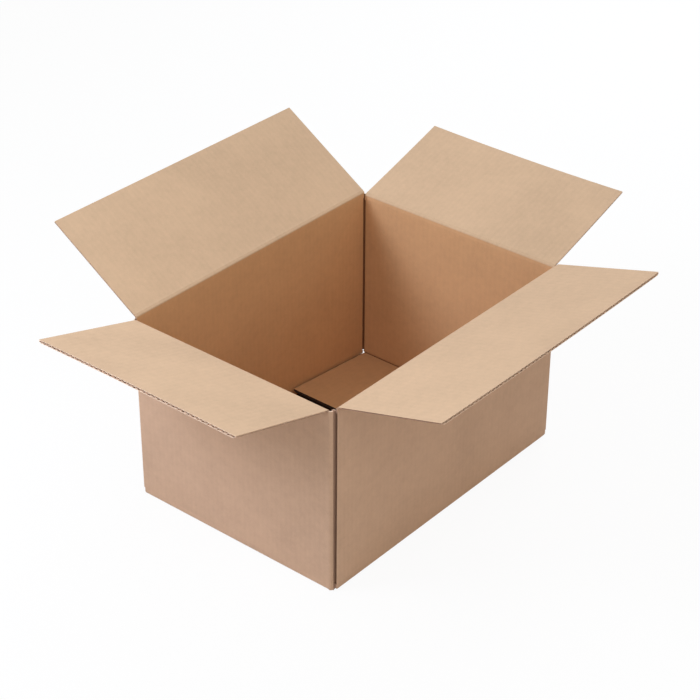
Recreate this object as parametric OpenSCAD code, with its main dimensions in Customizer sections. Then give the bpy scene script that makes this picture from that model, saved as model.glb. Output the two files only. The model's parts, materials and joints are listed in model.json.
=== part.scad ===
// Open carton of single wall corrugated board, with four top flaps.
// The origin is at the centre of the underside, X runs along the long walls,
// Y along the short walls and Z up. Lengths are in mm, angles in degrees.
// The walls, the glue tab and the bottom flaps are one folded sheet. Each top
// flap turns on the crease at its root.

/* [Box] */
// Outside length along the long walls
body_l = 440; // [340:1:600]
// Outside width along the short walls
body_w = 318; // [220:1:420]
// Height of the middle of the top creases above the ground
body_h = 256.5; // [160:0.5:400]

/* [Board] */
// Thickness of the board
board_t = 3.5; // [3.2:0.1:5]
// Thickness of each facing sheet of the board
liner_t = 0.4; // [0.3:0.05:0.6]
// Thickness of the wavy sheet between the facings
medium_t = 0.35; // [0.3:0.05:0.6]
// Distance from one flute to the next
flute_pitch = 7.5; // [6.5:0.1:10]
// Radius on the inside of the folds
fold_in = 0.5; // [0.2:0.1:1.5]

/* [Top flaps] */
// Opening of the long flap in front, from upright
front_open = 73.8; // [0:0.1:150]
// Opening of the long flap at the back, from upright
back_open = 57.8; // [0:0.1:150]
// Opening of the short flap on the left, from upright
left_open = 74; // [0:0.1:150]
// Opening of the short flap on the right, from upright
right_open = 73.7; // [0:0.1:150]
// Gap between the long flaps when they are closed
seam_gap = 0.6; // [0.4:0.1:4]
// Inset of the side edges of the long flaps from the outer faces
slot_inset = 2; // [1.5:0.5:8]
// Depth of the slots past the creases
slot_over = 1.5; // [1:0.5:4]

/* [Creases] */
// Radius of the round root of a flap
bead_r = 1.1; // [0.8:0.05:1.1]
// Depth of the crease line below the outer face
crease_in = 1.2; // [1.1:0.05:1.6]
// Length of the crushed board on each side of a crease
crush_l = 6.5; // [6:0.5:12]
// Clearance at the creases and between layers of board
fit_gap = 0.3; // [0.2:0.05:0.5]

/* [Glue tab] */
// Width of the glue tab inside the front wall
tab_w = 35; // [25:1:45]
// Distance of the cut edge of the front wall from the corner
joint_set = 5.5; // [5:0.5:9]
// Height by which the ends of the glue tab taper
tab_taper = 9; // [4:1:15]

/* [Bottom] */
// Angle at which the short bottom flaps spring up
floor_rise = 4.5; // [0:0.5:7]
// Inset of the side edges of the short bottom flaps from the outer faces
floor_inset = 6.5; // [5:0.5:10]
// Height of the small holes at the bottom corners
corner_hole = 8; // [5:0.5:8.5]

/* [View] */
// Sub-part to show

/* [Hidden] */
kraft = [0.80, 0.65, 0.49];
kraft_dark = [0.72, 0.57, 0.42];

// distance of the crease line from the inner face of the board
crease_out = board_t - crease_in;
// the short flaps lie under the long ones, so their creases are lower
layer = board_t + fit_gap;
z_long = body_h + layer / 2;
z_short = body_h - layer / 2;
// length of a flap from its crease line to its free edge
flap_l = body_w / 2 - crease_in - seam_gap / 2;
// outer radius of a fold
fold_r = board_t + fold_in;
// side insets of the flaps from the outer faces of the walls
short_inset = board_t + 2 * fit_gap;
near_inset = board_t + fold_r + fit_gap;
front_inset = joint_set + 0.5;
// where the crushed crease and the slots end on the walls
z_crush = z_short - crush_l;
z_slot = z_short - slot_over;
// centre of the bottom folds of the short walls, and the lower end of the wall tube
z_bend = board_t + fit_gap + fold_r;
z_tube = z_bend + slot_over;
// length of a short bottom flap from its fold to its free edge
short_floor_l = body_w / 2 - fold_r;
// pieces that are joined reach this far into each other
bite = 0.5;
// depth of a flute, and its half widths at the wide and at the narrow end
flute_h = board_t - 2 * liner_t - medium_t;
crest_w = 0.15 * flute_pitch;
flute_wide = flute_pitch / 2 - crest_w / 2 - 0.35 * medium_t;
flute_tip = crest_w / 2 - 0.35 * medium_t;

// Hollow flutes of a width of board, alternately open to one facing and the other.
// The outer facing lies at y = 0 and the inner one at y = board_t.
module flutes(w) {
    n = floor((w - crest_w) / flute_pitch);
    for (i = [0 : n - 1], side = [0, 1]) {
        x = (i - (n - 1) / 2 + (side - 0.5) / 2) * flute_pitch;
        y0 = side == 0 ? liner_t : board_t - liner_t;
        y1 = side == 0 ? liner_t + flute_h : board_t - liner_t - flute_h;
        polygon([[x - flute_wide, y0], [x + flute_wide, y0],
                 [x + flute_tip, y1], [x - flute_tip, y1]]);
    }
}

// Section of the crushed board below a crease line, which is at the origin.
// The outer face is at -crease_in, and the board reaches down to -depth.
module crush_section(depth) {
    polygon([[-crease_in, -depth], [-crease_in, -crush_l], [0, 0],
             [crease_out, -crease_out - 2 * fit_gap], [crease_out, -depth]]);
}

// Extrudes a section drawn in Y and Z along X.
module along_x(from, to) {
    translate([from, 0, 0]) rotate([90, 0, 90]) linear_extrude(to - from) children();
}

// Flap standing upright on its crease line, which is the X axis.
module flap(from, to) {
    along_x(from, to) mirror([0, 1]) crush_section(crush_l);
    translate([from, 0, 0]) rotate([0, 90, 0]) cylinder(r = bead_r, h = to - from, $fn = 24);
    translate([(from + to) / 2, -crease_in, crush_l]) linear_extrude(flap_l - crush_l)
        difference() {
            translate([(from - to) / 2, 0]) square([to - from, board_t]);
            flutes(to - from);
        }
}

// Top of a wall below a crease line on the X axis, with a round seat for the flap.
module wall_lip(from, to, depth) {
    difference() {
        along_x(from, to) crush_section(depth);
        translate([from - 1, 0, 0]) rotate([0, 90, 0])
            cylinder(r = bead_r + fit_gap, h = to - from + 2, $fn = 24);
    }
}

// Puts a crease that is drawn on the X axis, outside towards -Y, on one of the walls.
module on_front() { translate([0, crease_in - body_w / 2, z_long]) children(); }
module on_back() { rotate([0, 0, 180]) on_front() children(); }
module on_left() { rotate([0, 0, -90]) translate([0, crease_in - body_l / 2, z_short]) children(); }
module on_right() { rotate([0, 0, 180]) on_left() children(); }

module round_rect(l, w, r) {
    for (sx = [-1, 1], sy = [-1, 1])
        translate([sx * (l / 2 - r), sy * (w / 2 - r)]) circle(r = r, $fn = 32);
    square([l - 2 * r, w], center = true);
    square([l, w - 2 * r], center = true);
}

// Quarter of a folded board around the origin, from -X to -Y, and on by a further angle.
module bend(more = 0) {
    intersection() {
        difference() {
            circle(r = fold_r, $fn = 32);
            circle(r = fold_in, $fn = 32);
        }
        for (a = [0, more]) rotate(a) translate([-fold_r, -fold_r]) square(fold_r);
    }
}

// Plan of the four walls. At the near corner the left wall folds into the glue tab,
// which lies inside the front wall, and the front wall starts at its cut edge.
module wall_plan() {
    difference() {
        round_rect(body_l, body_w, fold_r);
        round_rect(body_l - 2 * board_t, body_w - 2 * board_t, fold_in);
        translate([-body_l / 2 - 1, -body_w / 2 - 1])
            square([joint_set + 1, board_t + fold_r + 1]);
    }
    translate([fold_r - body_l / 2, board_t + fold_r - body_w / 2]) bend();
}

// Parts of the plan that belong to the upright folds, between the slots.
module corner_zones() {
    for (sx = [-1, 1], sy = [-1, 1])
        translate([sx * body_l / 2, sy * body_w / 2]) square(2 * fold_r, center = true);
    translate([-body_l / 2, -body_w / 2]) square(2 * (board_t + fold_r), center = true);
}

module tube() {
    translate([0, 0, z_tube]) linear_extrude(z_crush - z_tube) wall_plan();
    translate([0, 0, z_crush - bite]) linear_extrude(z_slot - z_crush + bite)
        intersection() { wall_plan(); corner_zones(); }
}

module lips() {
    depth_long = z_long - z_crush + bite;
    depth_short = z_short - z_crush + bite;
    on_front() wall_lip(joint_set - body_l / 2, body_l / 2 - fold_r, depth_long);
    on_back() wall_lip(fold_r - body_l / 2, body_l / 2 - fold_r, depth_long);
    on_left() wall_lip(short_inset - body_w / 2, body_w / 2 - near_inset, depth_short);
    on_right() wall_lip(short_inset - body_w / 2, body_w / 2 - short_inset, depth_short);
}

module glue_tab() {
    low = z_tube + bite;
    high = z_slot - bite;
    translate([fold_r - body_l / 2, 2 * board_t - body_w / 2, 0]) rotate([90, 0, 0])
        linear_extrude(board_t + bite)
            polygon([[-bite, low], [tab_w, low + tab_taper], [tab_w, high - tab_taper], [-bite, high]]);
}

// Section of a long bottom flap and its fold, from the outer face of the wall inwards.
module long_floor_section() {
    translate([fold_r, fold_r]) bend();
    translate([fold_r, 0]) square([body_w / 2 - fold_r - seam_gap / 2, board_t]);
}

// Section of the foot of a long wall, above that fold.
module long_foot_section() {
    translate([0, fold_r - bite]) square([board_t, z_tube - fold_r + 2 * bite]);
}

// Section of a wall and a short bottom flap, which lies on the long ones and springs up.
module short_floor_section() {
    translate([fold_r, z_bend]) {
        bend(floor_rise);
        translate([-fold_r, 0]) square([board_t, slot_over + bite]);
        rotate(floor_rise) translate([0, -fold_r]) square([short_floor_l, board_t]);
    }
}

// Long bottom flap with its fold and the foot of its wall, along X.
module long_floor(near, far) {
    along_x(near, far - slot_inset) long_floor_section();
    along_x(max(near, fold_r - body_l / 2), far - fold_r) long_foot_section();
}

// Short bottom flap with its fold, along X, with open flutes at its free edge.
module short_floor(from, to) {
    difference() {
        along_x(from, to) short_floor_section();
        translate([(from + to) / 2, fold_r, z_bend]) rotate([floor_rise - 90, 0, 0])
            translate([0, fold_r - board_t, crush_l]) linear_extrude(short_floor_l) flutes(to - from);
    }
}

module floor_flaps() {
    translate([0, -body_w / 2, 0]) long_floor(joint_set - body_l / 2, body_l / 2);
    rotate([0, 0, 180]) translate([0, -body_w / 2, 0])
        long_floor(slot_inset - body_l / 2, body_l / 2);
    rotate([0, 0, -90]) translate([0, -body_l / 2, 0])
        short_floor(floor_inset - body_w / 2, body_w / 2 - near_inset - fit_gap);
    rotate([0, 0, 90]) translate([0, -body_l / 2, 0])
        short_floor(floor_inset - body_w / 2, body_w / 2 - floor_inset);
}

// Upright folds below the tube: short of the ground at three corners, where a small hole
// stays between the flaps, and almost down to it at the glued one.
module corner_feet() {
    translate([0, 0, corner_hole]) linear_extrude(z_tube - corner_hole + bite)
        intersection() { wall_plan(); corner_zones(); }
    translate([0, 0, slot_over]) linear_extrude(z_tube - slot_over + bite)
        intersection() {
            wall_plan();
            translate([-body_l / 2, -body_w / 2]) square([joint_set, near_inset]);
        }
}

module carton_body() {
    color(kraft_dark) {
        tube();
        lips();
        glue_tab();
        corner_feet();
        floor_flaps();
    }
}

module front_flap() {
    color(kraft) on_front() rotate([front_open, 0, 0])
        flap(front_inset - body_l / 2, body_l / 2 - slot_inset);
}

module back_flap() {
    color(kraft) on_back() rotate([back_open, 0, 0])
        flap(slot_inset - body_l / 2, body_l / 2 - slot_inset);
}

module left_flap() {
    color(kraft) on_left() rotate([left_open, 0, 0])
        flap(short_inset - body_w / 2, body_w / 2 - near_inset);
}

module right_flap() {
    color(kraft) on_right() rotate([right_open, 0, 0])
        flap(short_inset - body_w / 2, body_w / 2 - short_inset);
}

carton_body();
front_flap();
back_flap();
left_flap();
right_flap();
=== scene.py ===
import json
import math

import bmesh
import bpy
from mathutils import Matrix, Vector


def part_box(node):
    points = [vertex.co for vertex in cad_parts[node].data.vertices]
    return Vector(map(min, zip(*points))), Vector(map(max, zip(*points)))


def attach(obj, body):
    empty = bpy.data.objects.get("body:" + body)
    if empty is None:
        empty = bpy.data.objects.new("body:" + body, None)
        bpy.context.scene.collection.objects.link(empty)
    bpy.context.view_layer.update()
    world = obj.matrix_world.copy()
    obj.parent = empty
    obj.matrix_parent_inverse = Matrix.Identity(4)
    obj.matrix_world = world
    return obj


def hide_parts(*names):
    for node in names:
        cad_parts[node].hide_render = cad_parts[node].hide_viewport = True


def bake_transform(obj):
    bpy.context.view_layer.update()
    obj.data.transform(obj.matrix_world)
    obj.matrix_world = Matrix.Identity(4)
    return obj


# An open carton of corrugated board. Every piece is built flat, as it lies on the sheet, in mm:
# u across the flutes, v along them, and the depth from the outer face of the board inwards.
# It is then folded into place. The flat place is kept as the UV map that the materials read.

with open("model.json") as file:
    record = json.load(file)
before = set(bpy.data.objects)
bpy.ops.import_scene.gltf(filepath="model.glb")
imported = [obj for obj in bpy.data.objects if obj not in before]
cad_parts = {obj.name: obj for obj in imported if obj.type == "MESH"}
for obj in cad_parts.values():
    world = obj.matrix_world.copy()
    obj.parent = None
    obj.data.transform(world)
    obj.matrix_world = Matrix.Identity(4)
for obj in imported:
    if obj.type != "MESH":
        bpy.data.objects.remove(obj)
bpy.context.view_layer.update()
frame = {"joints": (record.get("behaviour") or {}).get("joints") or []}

MM = 0.001
UP = Vector((0, 0, 1))

# Board
BOARD = 3.5
LINER = 0.4
MEDIUM = 0.35
PITCH = 7.5
LAYER_GAP = 0.3
# The knives press the board thin at its side edges, over this width and by this share
PINCH = PITCH / 2
PRESSED = 0.5

# Upright folds, each with a groove inside and a low ridge on both sides of it
FOLD = BOARD + 0.5
ARC = math.pi / 2 * (FOLD - BOARD / 2)
FOLD_TOP = 256.0
GROOVE_DEPTH = 2.2
GROOVE_HALF = 2.6
RIDGE = 0.2
RIDGE_AT = 4.4
RIDGE_WIDTH = 1.2
FAR_HOLE = 8.8

# The glued joint at the near corner: the front wall's cut edge, which leans a little, and the tab
JOINT_SET = 5.5
JOINT_LEAN = 2.0
LEAN_REACH = 30.0
CUT_RECESS = 3.0
TAB = 35.0
TAB_TAPER = 9.0
TAB_GAP = 0.05
TAB_FOOT = 0.4
TAB_SHOULDER = 5.0
TAB_SHOULDER_RISE = 4.0
# The tab gets painted shade over this width beside the joint
TAB_SHADE = 4.0

# Creases of the top flaps: the board is crushed to a wedge outside and pressed in or out inside
CREASE_IN = 1.2
CRUSH = 6.5
BEND_HALF = 1.4
WEDGE_POWER = 1.5
BEAD_WIDTH = 2.6
LIP = 0.3
LIP_AT = 2.6
LIP_WIDTH = 1.3

# Top flaps
SEAM = 0.6
SLOT_OVER = 1.5
SLOT_INSET = 2.0
BACK_INSET = 3.2
NEAR_OVERHANG = 0.4
FAR_TRIM = 0.3
DROOP_POWER = 1.6

# Bottom flaps. The left one climbs over the long ones, and the right one is folded higher and cut shorter.
FLOOR_INSET = 6.5
FLOOR_RISE = math.radians(5)
FLOOR_END = 12.5
FLOOR_SEAM = 0.02
CLIMB = math.radians(28)
CLIMB_LENGTH = 5.0
LEVEL_LENGTH = 6.0
FAR_LIFT = 2.9
FAR_SHORT = 2.4
SCORE_DEPTH = 1.4
SCORE_WIDTH = 1.8
SCORE_SHADE_HALF = 1.4
SHEET_BELOW = -200
# The short flaps cover the long ones further out than this, and there the long ones get painted deep shade
PAINTED_SHADE_BEYOND = 64.0
NOWHERE = 1e6

# Size of the mesh, along a wall and up or down it
FINE_EDGE = 7.0
FINE = 0.7
LOW_ROWS = (14, 45, 7)
HIGH_START = 80
HIGH_ROW = 40
FOOT_ROW = 1.5
FLAP_ROW = 12
CREASE_ROWS = (0.8, 0.2, 0.6)

# A face looks along an axis when its normal has at least this share there
FACING = 0.5
ENDWISE = 0.9
NEARLY = 0.01
SHARP = math.radians(40)

low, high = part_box("carton_body")
LENGTH = (high.x - low.x) / MM
WIDTH = (high.y - low.y) / MM
HINGE = {joint["child"]: Vector(joint["pos_m"]) / MM for joint in frame["joints"]}
OPEN = {name: math.radians(turn) for name, turn in
        (("front", 73.8), ("back", 57.8), ("left", 74), ("right", 73.7))}
# How far the corners of the top flaps droop, are drawn in, and lean to the near and the far side
CURL = {"front": -0.3, "back": -0.3, "left": 0.3, "right": -2.7}
TRIM = {"front": 2.2, "back": 0.0, "left": -1.4, "right": 0.0}
SKEW = {"front": (2.4, 1.5), "back": (0, 0), "left": (0, 0), "right": (0, 0)}
# How far the inside of a crease stands out
BEAD = {"front": -1.8, "back": -0.3, "left": -0.4, "right": -0.6}

LONG_TOP = HINGE["front"].z - CRUSH
SHORT_TOP = HINGE["left"].z - CRUSH
SLOT_TOP = HINGE["left"].z - SLOT_OVER
FLAP = WIDTH / 2 - CREASE_IN - SEAM / 2
NEAR_INSET = BOARD + FOLD + LAYER_GAP
SHORT_INSET = BOARD + 2 * LAYER_GAP
SHORT_BEND = BOARD + LAYER_GAP + FOLD
TUBE_FOOT = SHORT_BEND + SLOT_OVER


class Wall:
    """A wall as seen from outside: a runs along it, and half is its distance from the middle."""

    def __init__(self, name, along, half, start, end):
        self.name = name
        self.along = Vector(along)
        self.out = self.along.cross(UP)
        self.half = half
        self.start = start
        self.end = end
        self.u0 = 0.0

    def stand(self, a, z, depth):
        return self.along * a + self.out * (self.half - depth) + UP * z


front = Wall("front", (1, 0, 0), WIDTH / 2, JOINT_SET - LENGTH / 2, LENGTH / 2 - FOLD)
right = Wall("right", (0, 1, 0), LENGTH / 2, FOLD - WIDTH / 2, WIDTH / 2 - FOLD)
back = Wall("back", (-1, 0, 0), WIDTH / 2, FOLD - LENGTH / 2, LENGTH / 2 - FOLD)
left = Wall("left", (0, -1, 0), LENGTH / 2, FOLD - WIDTH / 2, WIDTH / 2 - BOARD - FOLD)
tab = Wall("tab", (1, 0, 0), WIDTH / 2 - BOARD - TAB_GAP, FOLD - LENGTH / 2, FOLD - LENGTH / 2 + TAB)
WALLS = [front, right, back, left, tab]
unrolled = 0.0
for wall in WALLS:
    wall.u0 = unrolled - wall.start
    unrolled += wall.end - wall.start + ARC


def bell(x):
    return math.exp(-x * x)


def ease(x):
    x = min(max(x, 0.0), 1.0)
    return x * x * (3 - 2 * x)


def steps(start, end, size):
    """Even places from start to end, about a size apart."""
    count = max(1, round((end - start) / size))
    return [start + (end - start) * i / count for i in range(count + 1)]


def joined(*runs):
    places = []
    for run in runs:
        places += run if not places else run[1:]
    return places


def flat_sheet(columns, rows):
    """Flat grid on the given places."""
    bm = bmesh.new()
    bmesh.ops.create_grid(bm, x_segments=len(columns) - 1, y_segments=len(rows) - 1, size=1)
    for vert in bm.verts:
        column = round((vert.co.x + 1) / 2 * (len(columns) - 1))
        row = round((vert.co.y + 1) / 2 * (len(rows) - 1))
        vert.co = (columns[column], rows[row], 0)
    return bm


def cut_away(bm, keep):
    """Deletes the faces whose middle isn't kept."""
    gone = [face for face in bm.faces if not keep(*face.calc_center_median().xy)]
    bmesh.ops.delete(bm, geom=gone, context="FACES")


def thicken(bm, outer, inner):
    """Makes the sheet a closed slab between two depths, which are functions of u and v."""
    made = bmesh.ops.extrude_face_region(bm, geom=bm.faces[:], use_keep_orig=True)["geom"]
    inside = {item for item in made if isinstance(item, bmesh.types.BMVert)}
    for vert in bm.verts:
        depth = inner if vert in inside else outer
        vert.co.z = depth(vert.co.x, vert.co.y)


# Places of the finishes in every piece's material list. The shaded and the lit inner paper are painted
# shade and painted light, the dark edge paper is partly painted shade, and the last two papers are painted
# shade.
OUTSIDE, SHADED_INNER, LIT_INNER, CUT, DARK_EDGE_AND_SHADE, PAINTED_DEEP_SHADE, PAINTED_GROOVE_SHADE = range(7)


def mark_finishes(bm):
    """Gives solid board its facings, the inner one in the shaded copy of the inner paper, its cut ends,
    and its dark side edges, whose paper also serves as painted shade.
    """
    bm.normal_update()
    for face in bm.faces:
        if abs(face.normal.z) > FACING:
            outer = face.calc_center_median().z < BOARD / 2
            face.material_index = OUTSIDE if outer else SHADED_INNER
        else:
            face.material_index = DARK_EDGE_AND_SHADE if abs(face.normal.x) > ENDWISE else CUT


def fold(bm, place, u0, v0):
    """Keeps each point's place on the sheet as UV, and moves the point where the sheet is folded to."""
    sheet = bm.loops.layers.uv.get("sheet") or bm.loops.layers.uv.new("sheet")
    for face in bm.faces:
        face.smooth = True
        for loop in face.loops:
            at = loop.vert.co
            loop[sheet].uv = ((at.x + u0) * MM, (at.y + v0) * MM + at.z * MM)
    for vert in bm.verts:
        vert.co = place(*vert.co) * MM
    bmesh.ops.recalc_face_normals(bm, faces=bm.faces)
    for edge in bm.edges:
        if len(edge.link_faces) == 2 and edge.calc_face_angle() > SHARP:
            edge.smooth = False


def add_piece(name, sheets, body=None):
    """One object of the folded sheets, riding on a body."""
    mesh = bpy.data.meshes.new(name)
    whole = bmesh.new()
    for bm in sheets:
        part = bpy.data.meshes.new("part")
        bm.to_mesh(part)
        whole.from_mesh(part)
        bpy.data.meshes.remove(part)
        bm.free()
    whole.to_mesh(mesh)
    whole.free()
    for finish in FINISHES:
        mesh.materials.append(finish)
    piece = bpy.data.objects.new(name, mesh)
    bpy.context.scene.collection.objects.link(piece)
    if body:
        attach(piece, body)
    return piece


def wave(u):
    """Depth of the middle of the wavy sheet."""
    swing = BOARD / 2 - LINER - MEDIUM / 2
    return BOARD / 2 + swing * math.sin(2 * math.pi * u / PITCH)


def pinched(depth, u, start, end):
    """A depth in board whose side edges the slotting knives have pressed thin."""
    near = 1 - ease(min(u - start, end - u) / PINCH)
    return BOARD + (depth - BOARD) * (1 - PRESSED * near)


def corrugated(start, end, foot, edge, place, u0, v0, inner_finish, rim=CUT, painted_shade_beyond=NOWHERE):
    """Two facings and the wavy sheet between them, from side to side and from foot to free edge."""
    columns = steps(start, end, PITCH / 2)
    rows = steps(foot, edge, FLAP_ROW)
    sheets = []

    def layer(bm, middle, thickness):
        thicken(bm, lambda u, v: pinched(middle(u) - thickness / 2, u, start, end),
                lambda u, v: pinched(middle(u) + thickness / 2, u, start, end))
        bm.normal_update()
        for face in bm.faces:
            face.material_index = DARK_EDGE_AND_SHADE if abs(face.normal.x) > ENDWISE else rim
        sheets.append(bm)

    for outer in (True, False):
        bm = flat_sheet(columns, rows)
        level = LINER / 2 if outer else BOARD - LINER / 2
        layer(bm, lambda u: level, LINER)
        for face in bm.faces:
            if outer and face.normal.z < -FACING:
                face.material_index = OUTSIDE
            elif not outer and face.normal.z > FACING:
                # Beyond that reach the inner facing gets painted deep shade
                unshaded = abs(face.calc_center_median().x) < painted_shade_beyond
                face.material_index = inner_finish if unshaded else PAINTED_DEEP_SHADE
    layer(flat_sheet(steps(start, end, PITCH / 10), rows), lambda u: wave(u + u0), MEDIUM)
    for bm in sheets:
        fold(bm, place, u0, v0)
    return sheets


# Finishes

EVEN = (1, 1, 1)
# Each pattern in the paper: how fine it is, its detail, its stretch and its shift
PATTERNS = {
    "clouds": (11, 3, EVEN, 0),
    "mottle": (120, 4, EVEN, 3),
    "fibres": (700, 3, (1.6, 0.45, 1), 5),
    "specks": (1500, 2, EVEN, 9),
    "streaks": (60, 2, (3, 0.3, 1), 12),
}
# How much a pattern adds to the tone, and to the relief
TONE_BASE = 0.04
TONES = {"clouds": 0.45, "mottle": 0.35, "fibres": 0.32, "specks": 0.12}
FIBRE_RELIEF = 0.5
RIPPLE_RELIEF = 0.5
MOTTLE_RELIEF = 0.6
# Places of the dark, plain and pale colour on the scale of tones
DARK_AT, PLAIN_AT, PALE_AT = 0.38, 0.66, 0.94
DARKER, PALER = 0.86, 1.12
ROUGH_SWING = 0.16
BUMP = 0.6
BUMP_HEIGHT = 0.12 * MM
PAPER_GLOSS = 0.22


def noise_value(tree, coordinates, scale, detail, stretch, shift):
    """Noise on the sheet."""
    mapping = tree.nodes.new("ShaderNodeMapping")
    mapping.inputs["Scale"].default_value = stretch
    mapping.inputs["Location"].default_value = (shift, shift / 3, shift / 7)
    noise = tree.nodes.new("ShaderNodeTexNoise")
    noise.inputs["Scale"].default_value = scale
    noise.inputs["Detail"].default_value = detail
    tree.links.new(coordinates, mapping.inputs["Vector"])
    tree.links.new(mapping.outputs["Vector"], noise.inputs["Vector"])
    return noise.outputs["Fac"]


def combine(tree, operation, first, second, third=None):
    """A Math node on values or sockets."""
    node = tree.nodes.new("ShaderNodeMath")
    node.operation = operation
    for socket, value in zip(node.inputs, (first, second, third)):
        if value is None:
            continue
        if isinstance(value, (int, float)):
            socket.default_value = value
        else:
            tree.links.new(value, socket)
    return node.outputs["Value"]


def kraft(name, dark, plain, pale, shift, washboard=0.04, rough=0.84):
    """Kraft paper: clouds, mottling, fibres and flecks, with the flutes showing faintly through."""
    material = bpy.data.materials.new(name)
    material.use_nodes = True
    tree = material.node_tree
    shader = tree.nodes["Principled BSDF"]
    shader.inputs["Specular IOR Level"].default_value = PAPER_GLOSS
    uv = tree.nodes.new("ShaderNodeUVMap")
    uv.uv_map = "sheet"
    at = uv.outputs["UV"]
    made = {}
    for pattern, (scale, detail, stretch, further) in PATTERNS.items():
        made[pattern] = noise_value(tree, at, scale, detail, stretch, shift + further)
    split = tree.nodes.new("ShaderNodeSeparateXYZ")
    tree.links.new(at, split.inputs["Vector"])
    turn = combine(tree, "MULTIPLY", split.outputs["X"], 2 * math.pi / (PITCH * MM))
    ripple = combine(tree, "MULTIPLY", combine(tree, "SINE", turn, 0), made["streaks"])
    tone = TONE_BASE
    for pattern, share in TONES.items():
        tone = combine(tree, "MULTIPLY_ADD", made[pattern], share, tone)
    tone = combine(tree, "MULTIPLY_ADD", ripple, washboard, tone)
    ramp = tree.nodes.new("ShaderNodeValToRGB")
    tree.links.new(tone, ramp.inputs["Fac"])
    elements = ramp.color_ramp.elements
    elements[0].position = DARK_AT
    elements[0].color = (*dark, 1)
    elements[1].position = PALE_AT
    elements[1].color = (*pale, 1)
    middle = elements.new(PLAIN_AT)
    middle.color = (*plain, 1)
    tree.links.new(ramp.outputs["Color"], shader.inputs["Base Color"])
    roughness = combine(tree, "MULTIPLY_ADD", made["mottle"], ROUGH_SWING, rough - ROUGH_SWING / 2)
    tree.links.new(roughness, shader.inputs["Roughness"])
    relief = combine(tree, "MULTIPLY", made["fibres"], FIBRE_RELIEF)
    relief = combine(tree, "MULTIPLY_ADD", ripple, RIPPLE_RELIEF, relief)
    relief = combine(tree, "MULTIPLY_ADD", made["mottle"], MOTTLE_RELIEF, relief)
    bump = tree.nodes.new("ShaderNodeBump")
    bump.inputs["Strength"].default_value = BUMP
    bump.inputs["Distance"].default_value = BUMP_HEIGHT
    tree.links.new(relief, bump.inputs["Height"])
    tree.links.new(bump.outputs["Normal"], shader.inputs["Normal"])
    return material


def tinted(colour, factor):
    return tuple(min(1.0, part * factor) for part in colour)


OUTER_PAPER = (0.55, 0.36, 0.245)
# The same inner paper twice: a shaded copy for the inside of the walls and floor, which is painted shade,
# and a lit copy for the flaps, which is painted light
SHADED_INNER_PAPER = (0.61, 0.36, 0.188)
LIT_INNER_PAPER = (0.60, 0.417, 0.268)
CUT_PAPER = (0.82, 0.62, 0.475)
# Dark side edges, and painted shade in the recess and on the tab of the glued joint
DARK_EDGE_AND_SHADE_PAPER = (0.34, 0.21, 0.145)
# Painted deep shade under the short flaps and on the free edges of the bottom flaps
PAINTED_DEEP_SHADE_PAPER = (0.07, 0.045, 0.035)
# Painted shade in the grooves of the folds and the scores of the bottom folds
PAINTED_GROOVE_SHADE_PAPER = (0.27, 0.14, 0.068)


def paper(name, colour, shift, **more):
    return kraft(name, tinted(colour, DARKER), colour, tinted(colour, PALER), shift, **more)


FINISHES = [
    paper("outer_facing", OUTER_PAPER, 1.0),
    paper("inner_facing", SHADED_INNER_PAPER, 20.0),
    paper("flap_facing", LIT_INNER_PAPER, 20.0),
    paper("cut_board", CUT_PAPER, 40.0, washboard=0.0, rough=0.92),
    paper("pressed_side", DARK_EDGE_AND_SHADE_PAPER, 60.0, washboard=0.0, rough=0.92),
    paper("deep_cut", PAINTED_DEEP_SHADE_PAPER, 80.0, washboard=0.0, rough=0.95),
    paper("crushed_fold", PAINTED_GROOVE_SHADE_PAPER, 20.0, washboard=0.0, rough=0.95),
]


# Walls

def fold_middles():
    return [wall.u0 + wall.end + ARC / 2 for wall in WALLS[:-1]]


def inner_depth(u, v):
    """Depth of the inner face, with the grooves and ridges of the upright folds."""
    depth = BOARD
    for middle in fold_middles():
        beside = abs(u - middle)
        groove = GROOVE_DEPTH * math.exp(-(beside / GROOVE_HALF) ** 4)
        depth += RIDGE * bell((beside - RIDGE_AT) / RIDGE_WIDTH) - groove
    return depth


def around(u, z, depth):
    """Where a point of the unrolled walls is when they are folded into a tube."""
    for wall in WALLS:
        a = u - wall.u0
        if a <= wall.end or wall is tab:
            return wall.stand(a, z, depth)
        if a < wall.end + ARC:
            turn = (a - wall.end) / ARC * math.pi / 2
            outwards = wall.out * math.cos(turn) + wall.along * math.sin(turn)
            return wall.stand(wall.end, z, FOLD) + outwards * (FOLD - depth)
    raise ValueError("no wall here")


def wall_columns():
    """Places across the unrolled walls, close together near the folds."""
    runs = []
    for wall in WALLS:
        start, end = wall.u0 + wall.start, wall.u0 + wall.end
        runs.append(steps(start, start + FINE_EDGE, FINE))
        runs.append(steps(start + FINE_EDGE, end - FINE_EDGE, PITCH))
        runs.append(steps(end - FINE_EDGE, end, FINE))
        if wall is not tab:
            runs.append(steps(end, end + ARC, ARC / 10))
    return joined(*runs)


def wall_kept(u, v):
    """Whether the tube has board here: straight walls end below the creases, folds reach the slots."""
    for wall in WALLS:
        a = u - wall.u0
        if a < wall.end:
            if wall is tab:
                beside_fold = a < wall.start + TAB_SHOULDER
                return beside_fold or TUBE_FOOT < v < SHORT_TOP + TAB_SHOULDER_RISE
            top = LONG_TOP if wall in (front, back) else SHORT_TOP
            return TUBE_FOOT < v < top
        if a < wall.end + ARC:
            if wall is right and v < SLOT_OVER:
                return True
            return v > {left: SLOT_OVER, right: FAR_HOLE}.get(wall, TUBE_FOOT)
    return False


def tab_taper(u, v):
    """Pulls the ends of the glue tab together towards its free edge."""
    a = u - tab.u0 - tab.start
    if a <= 0:
        return v
    cut = TAB_TAPER * a / TAB
    middle = (TUBE_FOOT + SLOT_TOP) / 2
    return middle + (v - middle) * (1 - cut / (SLOT_TOP - middle))


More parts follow.
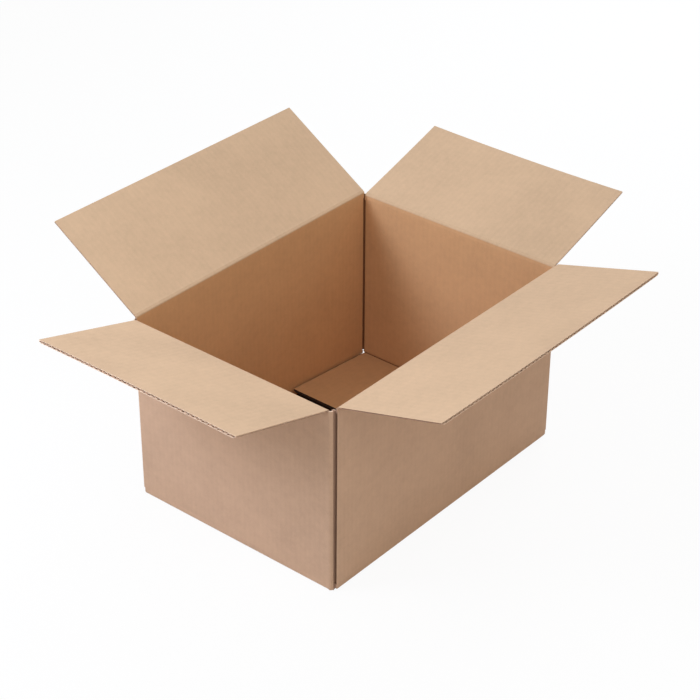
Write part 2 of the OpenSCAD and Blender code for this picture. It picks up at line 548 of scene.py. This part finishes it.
def carton_walls():
    """The four walls with their upright folds, and the glue tab, as one piece of board."""
    rows = [TAB_FOOT, SLOT_OVER, FAR_HOLE, TUBE_FOOT] + steps(*LOW_ROWS)
    rows += steps(HIGH_START, SHORT_TOP, HIGH_ROW) + [LONG_TOP, FOLD_TOP]
    bm = flat_sheet(wall_columns(), rows)
    cut_away(bm, wall_kept)
    for vert in bm.verts:
        vert.co.y = tab_taper(vert.co.x, vert.co.y)
    thicken(bm, lambda u, v: 0.0, inner_depth)
    mark_finishes(bm)
    shade_folds(bm)
    recess_cut_edge(bm, front.u0 + front.start)
    for vert in bm.verts:
        near = 1 - (vert.co.x - front.u0 - front.start) / LEAN_REACH
        vert.co.x += JOINT_LEAN * vert.co.y / FOLD_TOP * max(0.0, near)
    fold(bm, around, 0, 0)
    piece = add_piece("carton_walls", [bm], "carton")
    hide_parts("carton_body")


def shade_folds(bm):
    """Paints shade on the inside of the folds, and on the tab where it shows beside the front wall's cut
    edge.
    """
    for face in bm.faces:
        u = face.calc_center_median().x
        beside_fold = min(abs(u - middle) for middle in fold_middles())
        on_tab = 0 < u - tab.u0 - tab.start < TAB_SHADE
        if face.normal.z > 0 and beside_fold < GROOVE_HALF:
            face.material_index = PAINTED_GROOVE_SHADE
        elif face.material_index != SHADED_INNER and on_tab:
            face.material_index = DARK_EDGE_AND_SHADE


def recess_cut_edge(bm, u):
    """Opens the board at an upright cut edge, between its two facings."""
    ends = [face for face in bm.faces
            if abs(face.calc_center_median().x - u) < NEARLY and abs(face.normal.x) > ENDWISE]
    bmesh.ops.inset_region(bm, faces=ends, thickness=LINER, use_even_offset=True)
    middle = [face for face in ends if face.is_valid]
    for vert in {vert for face in middle for vert in face.verts}:
        vert.co.x += CUT_RECESS
    # The faces inside the recess get painted shade
    for face in bm.faces:
        in_recess = face.calc_center_median().x < u + CUT_RECESS + NEARLY
        if in_recess and abs(face.normal.z) < FACING:
            face.material_index = DARK_EDGE_AND_SHADE


# Top flaps

def turned(wall, angle, a, s, depth):
    """A point of a flap that stands s above its crease and is turned outwards by an angle."""
    hinge = HINGE[wall.name]
    out = CREASE_IN - depth
    swung = out * math.cos(angle) + s * math.sin(angle)
    raised = s * math.cos(angle) - out * math.sin(angle)
    return wall.stand(a, hinge.z + raised, CREASE_IN - swung)


def flap_sides(wall):
    """Side edges of a top flap, and those of the top of the wall below it."""
    half = (LENGTH if wall in (front, back) else WIDTH) / 2
    if wall is front:
        near = wall.start + JOINT_LEAN
        return (near - NEAR_OVERHANG, half - SLOT_INSET - FAR_TRIM), (near, wall.end)
    if wall is back:
        return (BACK_INSET - half, half - BACK_INSET), (wall.start, wall.end)
    if wall is left:
        return (SHORT_INSET - half, half - NEAR_INSET), (wall.start, wall.end)
    return (SHORT_INSET - half, half - SHORT_INSET), (wall.start, wall.end)


def flap_board(wall):
    """The flap from the crushed crease to its free edge."""
    (start, end), _ = flap_sides(wall)
    angle = OPEN[wall.name]
    half = max(abs(start), abs(end))
    near_skew, far_skew = SKEW[wall.name]

    def place(a, s, depth):
        share = (s - CRUSH) / (FLAP - CRUSH)
        droop = CURL[wall.name] * (a / half) ** 2 * share ** DROOP_POWER
        skew = share * (near_skew * (end - a) + far_skew * (a - start)) / (end - start)
        trim = TRIM[wall.name] * (a / half) ** 2 * share
        return turned(wall, angle, a - skew, s - trim, depth - droop)

    v0 = HINGE[wall.name].z
    sheets = corrugated(start, end, CRUSH, FLAP, place, wall.u0, v0, LIT_INNER)
    piece = add_piece(wall.name + "_flap_board", sheets, wall.name)
    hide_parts(wall.name + "_flap")


def crease(wall):
    """The crushed board of a crease, which bends between its wall and its flap."""
    (start, end), (wall_start, wall_end) = flap_sides(wall)
    angle = OPEN[wall.name]
    on_wall, on_bend, on_flap = CREASE_ROWS
    rows = joined(steps(-CRUSH, -BEND_HALF, on_wall), steps(-BEND_HALF, BEND_HALF, on_bend),
                  steps(BEND_HALF, CRUSH, on_flap))
    bm = flat_sheet(steps(0, 1, PINCH / (end - start)), rows)
    for vert in bm.verts:
        share = ease((vert.co.y + SLOT_OVER) / SLOT_OVER)
        near = wall_start + (start - wall_start) * share
        far = wall_end + (end - wall_end) * share
        vert.co.x = near + (far - near) * vert.co.x

    def outer(a, s):
        depth = (1 - abs(s) / CRUSH) ** WEDGE_POWER
        return pinched(depth, a, start, end) if s > 0 else depth

    def inner(a, s):
        return BOARD + BEAD[wall.name] * bell(s / BEAD_WIDTH) + LIP * bell((s - LIP_AT) / LIP_WIDTH)

    def place(a, s, depth):
        bent = ease((s + BEND_HALF) / (2 * BEND_HALF))
        return turned(wall, angle * bent, a, s, depth)

    thicken(bm, outer, inner)
    mark_finishes(bm)
    # The flap's side of the crease takes the lit copy of the inner paper, which is painted light, and the
    # wall's side keeps the shaded copy
    for face in bm.faces:
        if face.material_index == SHADED_INNER and face.calc_center_median().y > -BEND_HALF / 2:
            face.material_index = LIT_INNER
    fold(bm, place, wall.u0, HINGE[wall.name].z)
    piece = add_piece(wall.name + "_crease", [bm])
    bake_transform(piece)


# Bottom flaps

def along_path(path, distance):
    """How far inwards and down the middle of the board is along its path, and where it heads."""
    inwards, drop, heading = 0.0, 0.0, 0.0
    for length, turn in path:
        part = min(distance, length)
        if turn:
            radius = length / turn
            onward = heading + part / radius
            inwards += radius * (math.cos(heading) - math.cos(onward))
            drop += radius * (math.sin(onward) - math.sin(heading))
            heading = onward
        else:
            inwards += part * math.sin(heading)
            drop += part * math.cos(heading)
        distance -= part
    return inwards, drop, heading


def tucked(wall, path, a, t, depth):
    """A point of a bottom flap that lies t below the foot of the tube, along the path of the board."""
    inwards, drop, heading = along_path(path, t)
    ahead = depth - BOARD / 2
    return wall.stand(a, TUBE_FOOT - drop + ahead * math.sin(heading),
                      BOARD / 2 + inwards + ahead * math.cos(heading))


def bottom_flap(wall, path, sides, painted_shade_beyond=NOWHERE):
    """The foot of a wall with its fold, and the flap below it."""
    start, end = sides

    def place(a, t, depth):
        return tucked(wall, path, a, t, depth)

    reach = sum(length for length, _ in path)
    foot = path[0][0]
    root = reach - path[-1][0]
    rows = joined(steps(0, foot, FOOT_ROW), steps(foot, root, FINE))
    bm = flat_sheet(steps(0, 1, PITCH / (end - start)), rows)
    for vert in bm.verts:
        share = ease((vert.co.y - foot) / (root - foot))
        near = wall.start + (start - wall.start) * share
        far = wall.end + (end - wall.end) * share
        vert.co.x = near + (far - near) * vert.co.x
    score = foot + path[1][0] / 2
    thicken(bm, lambda a, t: 0.0, lambda a, t: BOARD - SCORE_DEPTH * bell((t - score) / SCORE_WIDTH))
    mark_finishes(bm)
    # Painted deep shade on the inner facing where the short flaps cover it, and painted shade in the score
    # of the fold
    for face in bm.faces:
        at = face.calc_center_median()
        if face.material_index == SHADED_INNER and abs(at.x) > painted_shade_beyond and at.y > foot:
            face.material_index = PAINTED_DEEP_SHADE
        elif face.material_index == SHADED_INNER and abs(at.y - score) < SCORE_SHADE_HALF:
            face.material_index = PAINTED_GROOVE_SHADE
    fold(bm, place, wall.u0, SHEET_BELOW)
    # The free edges of the bottom flaps get painted deep shade
    sheets = [bm] + corrugated(start, end, root, reach, place, wall.u0, SHEET_BELOW,
                               SHADED_INNER, PAINTED_DEEP_SHADE, painted_shade_beyond)
    add_piece(wall.name + "_bottom_flap", sheets, "carton")


def bottom_flaps():
    """The long flaps lie on the ground. The short ones lie on them and spring up.

    A path is a list of lengths of board, each with the angle that it turns through.
    """
    square = math.pi / 2
    half = WIDTH / 2
    middle = FOLD - BOARD / 2
    foot = TUBE_FOOT - FOLD
    long_path = [(foot, 0), (square * middle, square), (half - FOLD - FLOOR_SEAM, 0)]
    long_sides = (FLOOR_END - LENGTH / 2, LENGTH / 2 - FLOOR_END)
    bottom_flap(front, long_path, long_sides, PAINTED_SHADE_BEYOND)
    bottom_flap(back, long_path, long_sides, PAINTED_SHADE_BEYOND)
    rise_turn = square + FLOOR_RISE
    lifted_path = [(foot - FAR_LIFT, 0), (rise_turn * middle, rise_turn), (half - FOLD - FAR_SHORT, 0)]
    bottom_flap(right, lifted_path, (FLOOR_INSET - half, half - FLOOR_INSET))
    climb_turn = square + CLIMB
    rest = half - FOLD - CLIMB_LENGTH - LEVEL_LENGTH
    climbing_path = [(foot, 0), (climb_turn * middle, climb_turn), (CLIMB_LENGTH, 0),
                     (LEVEL_LENGTH, FLOOR_RISE - CLIMB), (rest, 0)]
    bottom_flap(left, climbing_path, (FLOOR_INSET - half, half - NEAR_INSET - LAYER_GAP))


# Floor, light and camera

WHITE = (1.0, 1.0, 1.0, 1.0)
FLOOR_COLOUR = (0.86, 0.86, 0.86, 1.0)
FLOOR_GLOW = 0.93
FLOOR_ROUGH = 0.9
FLOOR_GLOSS = 0.1
FLOOR_HALF = 12
FLOOR_CELLS = 4
FLOOR_DROP = 0.0003


def seen_ray(tree):
    """1 for rays that come straight from the camera or by gloss or glass."""
    path = tree.nodes.new("ShaderNodeLightPath")
    seen = combine(tree, "MAXIMUM", path.outputs["Is Camera Ray"], path.outputs["Is Glossy Ray"])
    return combine(tree, "MAXIMUM", seen, path.outputs["Is Transmission Ray"])


def pale_floor():
    """A floor that keeps the shadow and otherwise looks white."""
    material = bpy.data.materials.new("pale_floor")
    material.use_nodes = True
    tree = material.node_tree
    output = tree.nodes["Material Output"]
    paint = tree.nodes["Principled BSDF"]
    paint.inputs["Base Color"].default_value = FLOOR_COLOUR
    paint.inputs["Roughness"].default_value = FLOOR_ROUGH
    paint.inputs["Specular IOR Level"].default_value = FLOOR_GLOSS
    glow = tree.nodes.new("ShaderNodeEmission")
    glow.inputs["Color"].default_value = WHITE
    mix = tree.nodes.new("ShaderNodeMixShader")
    tree.links.new(combine(tree, "MULTIPLY", seen_ray(tree), FLOOR_GLOW), mix.inputs["Fac"])
    tree.links.new(paint.outputs["BSDF"], mix.inputs[1])
    tree.links.new(glow.outputs["Emission"], mix.inputs[2])
    tree.links.new(mix.outputs["Shader"], output.inputs["Surface"])
    bm = bmesh.new()
    bmesh.ops.create_grid(bm, x_segments=FLOOR_CELLS, y_segments=FLOOR_CELLS, size=FLOOR_HALF)
    bmesh.ops.translate(bm, vec=(0, 0, -FLOOR_DROP), verts=bm.verts)
    mesh = bpy.data.meshes.new("floor")
    bm.to_mesh(mesh)
    bm.free()
    mesh.materials.append(material)
    floor = bpy.data.objects.new("floor", mesh)
    bpy.context.scene.collection.objects.link(floor)


SKY_LIGHT = 0.4
SKY_TINT = (1.0, 0.94, 0.82, 1.0)


def sky():
    """A soft warm light all round, which looks white to the camera."""
    world = bpy.data.worlds.new("studio")
    bpy.context.scene.world = world
    world.use_nodes = True
    tree = world.node_tree
    output = tree.nodes["World Output"]
    light = tree.nodes["Background"]
    light.inputs["Color"].default_value = SKY_TINT
    light.inputs["Strength"].default_value = SKY_LIGHT
    backdrop = tree.nodes.new("ShaderNodeBackground")
    backdrop.inputs["Color"].default_value = WHITE
    mix = tree.nodes.new("ShaderNodeMixShader")
    tree.links.new(seen_ray(tree), mix.inputs["Fac"])
    tree.links.new(light.outputs["Background"], mix.inputs[1])
    tree.links.new(backdrop.outputs["Background"], mix.inputs[2])
    tree.links.new(mix.outputs["Shader"], output.inputs["Surface"])


# Each lamp's place in metres, its size, its power and its tint
LAMP_TARGET = Vector((0, 0, 0.2))
LAMPS = {
    "key": ((-1.12, 0.78, 1.2), 0.7, 15.5, (1.0, 1.09, 1.27)),
    "rim": ((1.9, 0.4, 1.5), 1.2, 23.0, (1.0, 1.08, 1.26)),
    "side": ((-0.85, -0.1, 1.0), 0.5, 1.3, (1.0, 1.09, 1.27)),
    "high": ((-0.5, -1.1, 1.6), 1.0, 3.8, (1.0, 0.99, 0.97)),
    "low": ((-0.2, -2.0, 1.0), 1.2, 5.6, (1.0, 0.95, 0.87)),
}


def soft_lamps():
    for name, (place, size, power, tint) in LAMPS.items():
        lamp = bpy.data.lights.new(name, "AREA")
        lamp.shape = "SQUARE"
        lamp.size = size
        lamp.energy = power
        lamp.color = tint
        holder = bpy.data.objects.new(name, lamp)
        holder.location = place
        holder.rotation_euler = (LAMP_TARGET - Vector(place)).to_track_quat("-Z", "Y").to_euler()
        bpy.context.scene.collection.objects.link(holder)


# The photograph's camera: place, angles in degrees, and focal length in pixels of the frame
CAMERA_PLACE = Vector((-1627.6, -1353.0, 1479.2)) * MM
CAMERA_HEADING = 39.733
CAMERA_DOWN = 31.683
CAMERA_ROLL = 0.236
FOCAL_PIXELS = 1974.7
FRAME_PIXELS = 700
SENSOR = 36.0


def photo_camera():
    lens = bpy.data.cameras.new("camera")
    lens.sensor_width = SENSOR
    lens.lens = SENSOR * FOCAL_PIXELS / FRAME_PIXELS
    camera = bpy.data.objects.new("camera", lens)
    turn = Matrix.Rotation(math.radians(CAMERA_HEADING - 90), 4, "Z")
    turn @= Matrix.Rotation(math.radians(90 - CAMERA_DOWN), 4, "X")
    turn @= Matrix.Rotation(math.radians(CAMERA_ROLL), 4, "Z")
    camera.matrix_world = Matrix.Translation(CAMERA_PLACE) @ turn
    bpy.context.scene.collection.objects.link(camera)
    bpy.context.scene.camera = camera


photo_camera()
soft_lamps()
sky()
pale_floor()
carton_walls()
bottom_flaps()
for wall in (front, right, back, left):
    crease(wall)
    flap_board(wall)

bpy.context.scene.view_settings.view_transform = "Standard"
